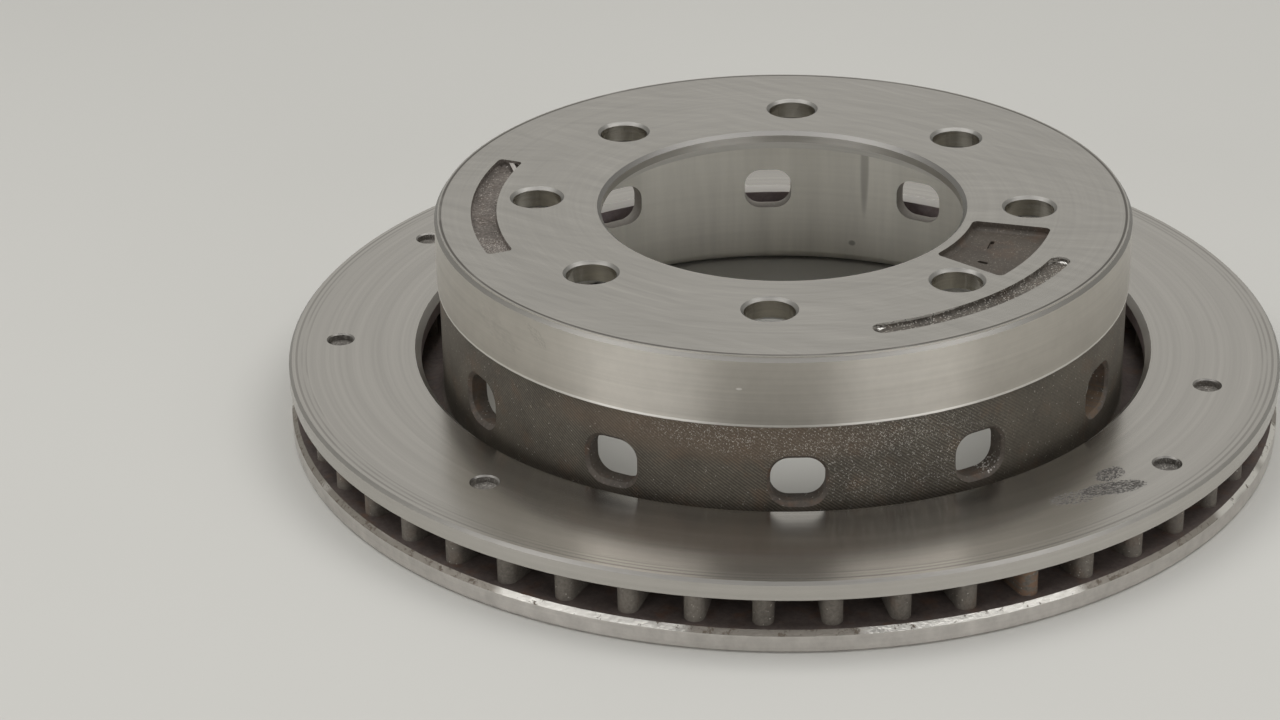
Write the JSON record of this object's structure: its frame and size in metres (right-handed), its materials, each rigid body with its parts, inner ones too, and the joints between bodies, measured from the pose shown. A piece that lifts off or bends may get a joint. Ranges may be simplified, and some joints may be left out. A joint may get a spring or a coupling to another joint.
{
  "type": "slip-over brake disc",
  "caption": "Vented slip-over brake disc cast in one piece with a deep hat, ring of windows, pilot bore and wheel stud holes.",
  "frame": {"origin": "centre of the inboard friction face, on the axis of the disc, at the lowest plane of the part", "axes": "+Z along the axis from the hub towards the wheel, out of the wheel face of the hat; -Y towards the picture's camera"},
  "size_m": [0.3356, 0.3356, 0.0728],
  "materials": {
    "turned_iron": "turned bare grey iron with rough cast skin in the vents, recesses and hat wall"
  },
  "bodies": {
    "root": {"brake_disc": "turned_iron"}
  },
  "joints": []
}
